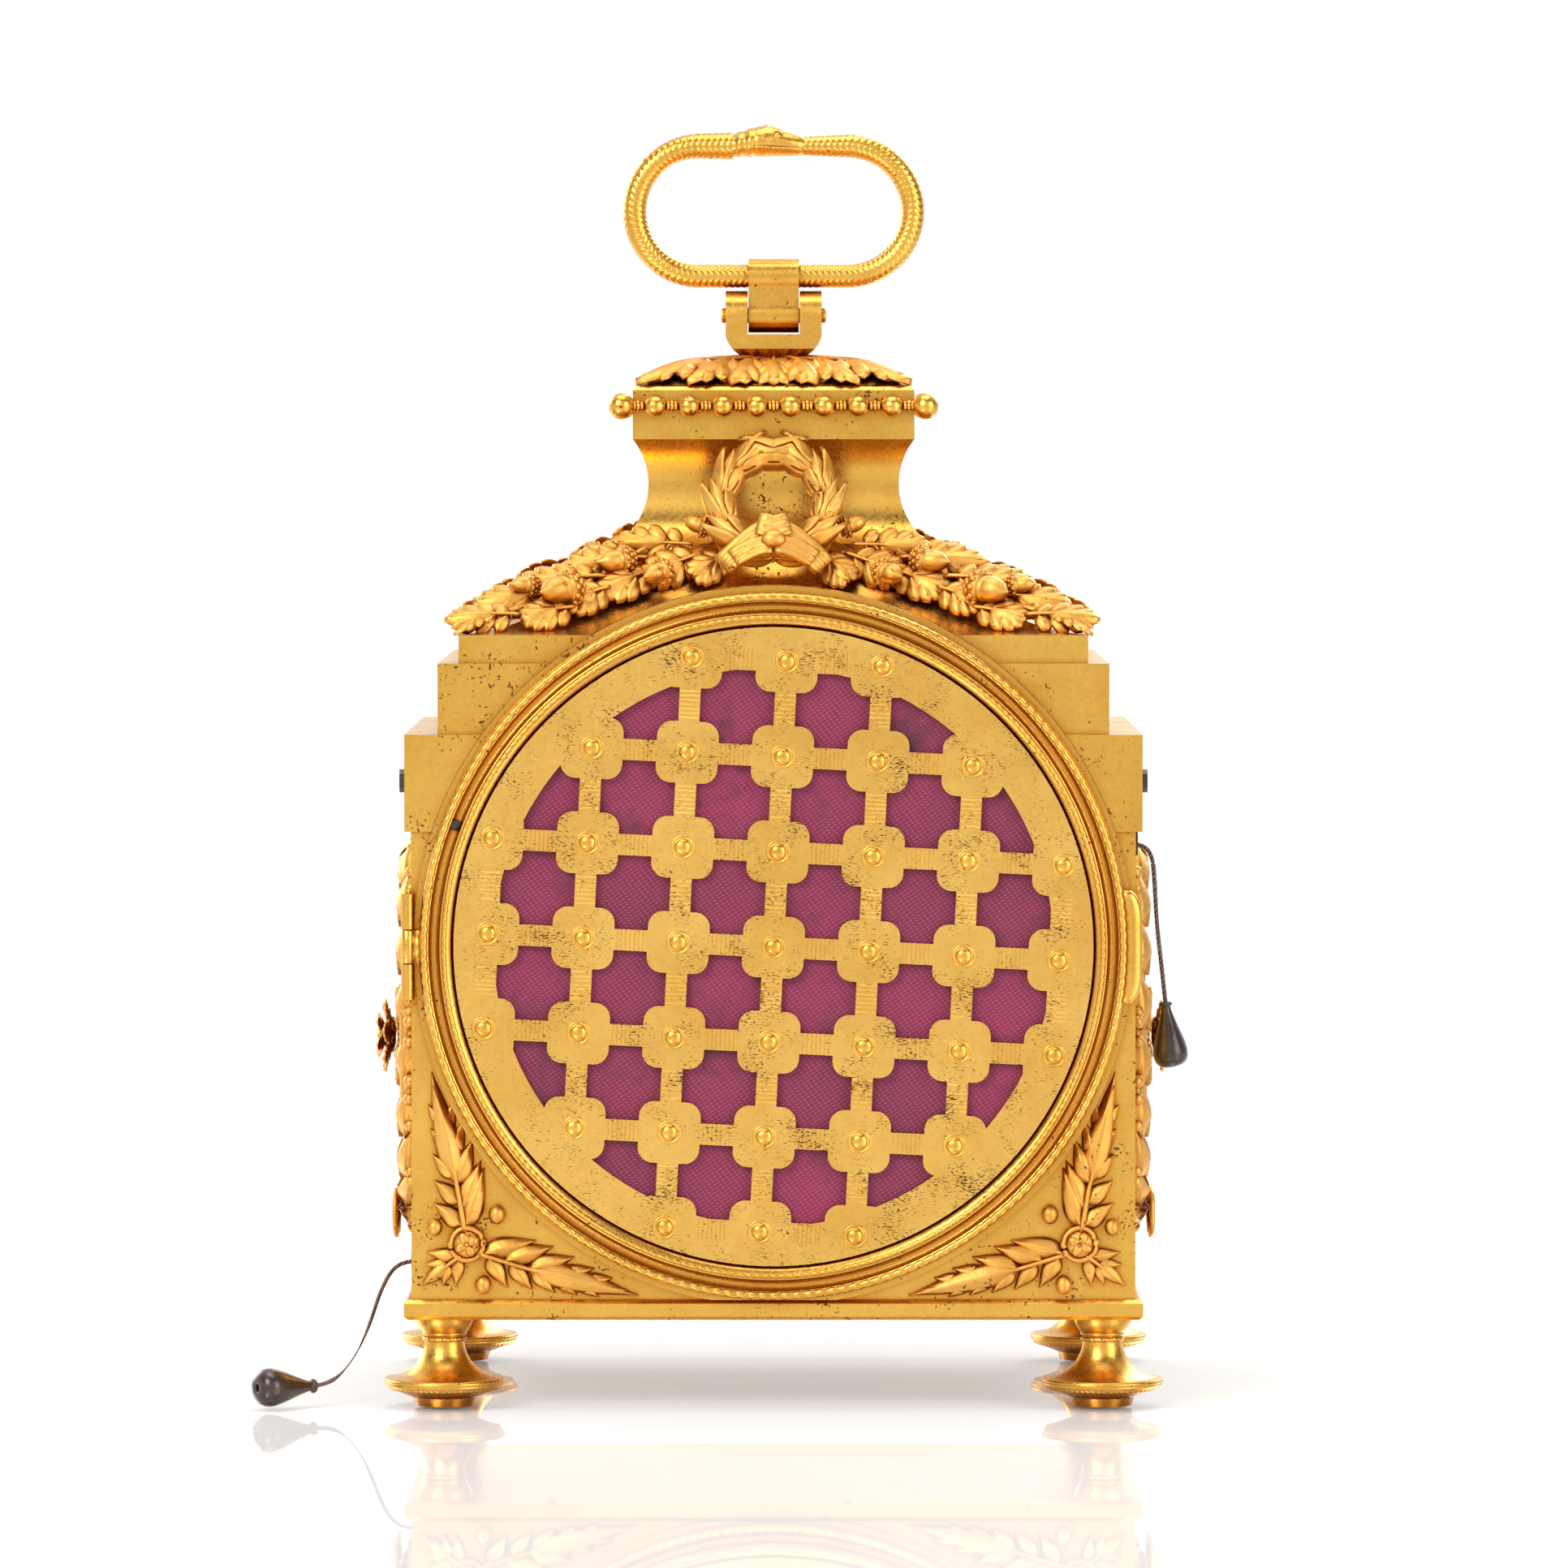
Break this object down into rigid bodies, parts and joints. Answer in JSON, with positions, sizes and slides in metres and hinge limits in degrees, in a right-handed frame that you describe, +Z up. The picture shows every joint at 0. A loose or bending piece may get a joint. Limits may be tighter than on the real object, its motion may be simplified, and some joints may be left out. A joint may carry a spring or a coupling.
{
  "type": "carriage clock",
  "caption": "Gilt travelling clock with a looped swing handle, hinged glazed front door, hinged pierced rear door and two pull cords.",
  "frame": {"origin": "on the surface it stands on, under the middle of the case", "axes": "+Z up, the dial faces -Y, the pierced rear door faces +Y"},
  "size_m": [0.1608, 0.1014, 0.2198],
  "materials": {
    "gilt_bronze": "chased mercury gilding",
    "brushed_gilt": "brushed gilding with dark pits",
    "gilt_plain": "plain mercury gilding",
    "purple_silk": "silk twill",
    "glass": "clear",
    "enamel": "white enamel on copper",
    "dark_horn": "dark turned horn",
    "cord": "thin braided cord",
    "bell_metal": "turned",
    "blued_steel": "blued",
    "movement_brass": "grained"
  },
  "bodies": {
    "case": {"acanthus_mount": "gilt_bronze", "alarm_cord": "cord", "back_plate": "movement_brass", "balance_cock": "movement_brass", "base_plate": "gilt_plain", "bead_moulding": "gilt_bronze", "bell": "bell_metal", "case_top": "gilt_plain", "case_walls": "gilt_plain", "cord_bushes": "dark_horn", "corner_sprays": "gilt_bronze", "dial": "enamel", "dial_ring": "gilt_bronze", "door_hinges": "gilt_bronze", "foot_front_left": "gilt_bronze", "foot_front_right": "gilt_bronze", "foot_rear_left": "gilt_bronze", "foot_rear_right": "gilt_bronze", "front_face_ring": "gilt_bronze", "front_plate": "movement_brass", "handle_fork": "gilt_bronze", "handle_pin": "gilt_bronze", "hinge_pins": "gilt_bronze", "pillars": "movement_brass", "rear_face_ring": "gilt_bronze", "repeat_cord": "cord", "roof_wreaths": "gilt_bronze", "side_bosses": "gilt_bronze", "side_buttons": "dark_horn", "side_wreaths": "gilt_bronze", "top_block": "gilt_plain"},
    "rear_door": {"rear_door_bezel": "gilt_bronze", "grille": "brushed_gilt", "grille_studs": "brushed_gilt", "silk_panel": "purple_silk"},
    "front_door": {"front_door_bezel": "gilt_bronze", "front_glass": "glass"},
    "handle": {"handle_bow": "gilt_bronze", "handle_collar": "gilt_bronze"},
    "centre_arbor": {"centre_wheel": "movement_brass", "cannon_pinion": "movement_brass", "minute_hand": "blued_steel"},
    "hour": {"hour_wheel": "movement_brass", "hour_hand": "blued_steel"},
    "alarm_setting": {"alarm_hand": "gilt_bronze"},
    "minute_wheel": {"minute_wheel": "movement_brass"},
    "going_barrel": {"going_barrel": "movement_brass"},
    "third_wheel": {"third_wheel": "movement_brass"},
    "escape_wheel": {"escape_wheel": "movement_brass"},
    "lever": {"lever": "blued_steel"},
    "balance": {"balance_wheel": "movement_brass"},
    "strike_barrel": {"strike_barrel": "movement_brass"},
    "strike_wheel": {"strike_wheel": "movement_brass"},
    "fly": {"fly": "movement_brass"},
    "hammer": {"hammer": "blued_steel"},
    "repeat_drum": {"repeat_drum": "movement_brass"},
    "alarm_drum": {"alarm_drum": "movement_brass"},
    "repeat_pull": {"repeat_pear": "dark_horn"},
    "alarm_pull": {"alarm_pear": "dark_horn"}
  },
  "joints": [
    {"name": "handle_swing", "type": "hinge", "parent": "case", "child": "handle", "pos_m": [0, 0, 0.1865], "axis": [1, 0, 0], "range_deg": [-90, 90]},
    {"name": "rear_door_open", "type": "hinge", "parent": "case", "child": "rear_door", "pos_m": [0.0622, 0.0486, 0.0789], "axis": [0, 0, -1], "range_deg": [0, 105]},
    {"name": "front_door_open", "type": "hinge", "parent": "case", "child": "front_door", "pos_m": [-0.0622, -0.0486, 0.0789], "axis": [0, 0, -1], "range_deg": [0, 105]},
    {"name": "minute_turn", "type": "hinge", "parent": "case", "child": "centre_arbor", "pos_m": [0, 0, 0.0789], "axis": [0, 1, 0], "continuous": true},
    {"name": "hour_turn", "type": "hinge", "parent": "case", "child": "hour", "pos_m": [0, 0, 0.0789], "axis": [0, 1, 0], "continuous": true},
    {"name": "minute_wheel_turn", "type": "hinge", "parent": "case", "child": "minute_wheel", "pos_m": [0.00831, 0, 0.0741], "axis": [0, 1, 0], "continuous": true},
    {"name": "going_barrel_turn", "type": "hinge", "parent": "case", "child": "going_barrel", "pos_m": [-0.02039, 0, 0.06939], "axis": [0, 1, 0], "continuous": true},
    {"name": "third_wheel_turn", "type": "hinge", "parent": "case", "child": "third_wheel", "pos_m": [0.0085, 0, 0.09362], "axis": [0, 1, 0], "continuous": true},
    {"name": "escape_wheel_turn", "type": "hinge", "parent": "case", "child": "escape_wheel", "pos_m": [0.0017, 0, 0.1054], "axis": [0, 1, 0], "continuous": true},
    {"name": "alarm_set_turn", "type": "hinge", "parent": "case", "child": "alarm_setting", "pos_m": [0, 0, 0.0789], "axis": [0, 1, 0], "continuous": true},
    {"name": "lever_rock", "type": "hinge", "parent": "case", "child": "lever", "pos_m": [-0.00619, 0, 0.10827], "axis": [0, 1, 0], "range_deg": [-4, 4]},
    {"name": "balance_swing", "type": "hinge", "parent": "case", "child": "balance", "pos_m": [-0.01256, 0, 0.10191], "axis": [0, 1, 0], "range_deg": [-220, 220], "stiffness_Nm_per_rad": 0.000001},
    {"name": "strike_barrel_turn", "type": "hinge", "parent": "case", "child": "strike_barrel", "pos_m": [0.02212, 0, 0.06341], "axis": [0, 1, 0], "continuous": true},
    {"name": "strike_wheel_turn", "type": "hinge", "parent": "case", "child": "strike_wheel", "pos_m": [0.02742, 0, 0.08321], "axis": [0, 1, 0], "continuous": true},
    {"name": "fly_turn", "type": "hinge", "parent": "case", "child": "fly", "pos_m": [0.02641, 0, 0.09477], "axis": [0, 1, 0], "continuous": true},
    {"name": "hammer_strike", "type": "hinge", "parent": "case", "child": "hammer", "pos_m": [-0.028, 0, 0.1089], "axis": [0, 1, 0], "range_deg": [-3, 10], "stiffness_Nm_per_rad": 0.001},
    {"name": "repeat_pull", "type": "slide", "parent": "case", "child": "repeat_pull", "axis": [-0.0994, 0.0398, -0.9942], "range_m": [0, 0.02], "stiffness_N_per_m": 20},
    {"name": "alarm_pull", "type": "slide", "parent": "case", "child": "alarm_pull", "axis": [0.8, 0.6, 0], "range_m": [0, 0.015]},
    {"name": "repeat_drum_turn", "type": "hinge", "parent": "case", "child": "repeat_drum", "pos_m": [-0.033, 0, 0.0929], "axis": [0, 1, 0], "range_deg": [-5, 240]},
    {"name": "alarm_drum_turn", "type": "hinge", "parent": "case", "child": "alarm_drum", "pos_m": [0.03, 0, 0.0519], "axis": [0, 1, 0], "range_deg": [-5, 180]}
  ],
  "couplings": [
    {"joint": "hour_turn", "follows": "minute_turn", "ratio": 0.083333},
    {"joint": "minute_wheel_turn", "follows": "minute_turn", "ratio": -0.33333},
    {"joint": "going_barrel_turn", "follows": "minute_turn", "ratio": -0.125},
    {"joint": "third_wheel_turn", "follows": "minute_turn", "ratio": -7.5},
    {"joint": "escape_wheel_turn", "follows": "minute_turn", "ratio": 56.25},
    {"joint": "strike_wheel_turn", "follows": "strike_barrel_turn", "ratio": -7.2},
    {"joint": "fly_turn", "follows": "strike_barrel_turn", "ratio": 45},
    {"joint": "repeat_drum_turn", "follows": "repeat_pull", "rad_per_m": 200},
    {"joint": "alarm_drum_turn", "follows": "alarm_pull", "rad_per_m": 200}
  ]
}
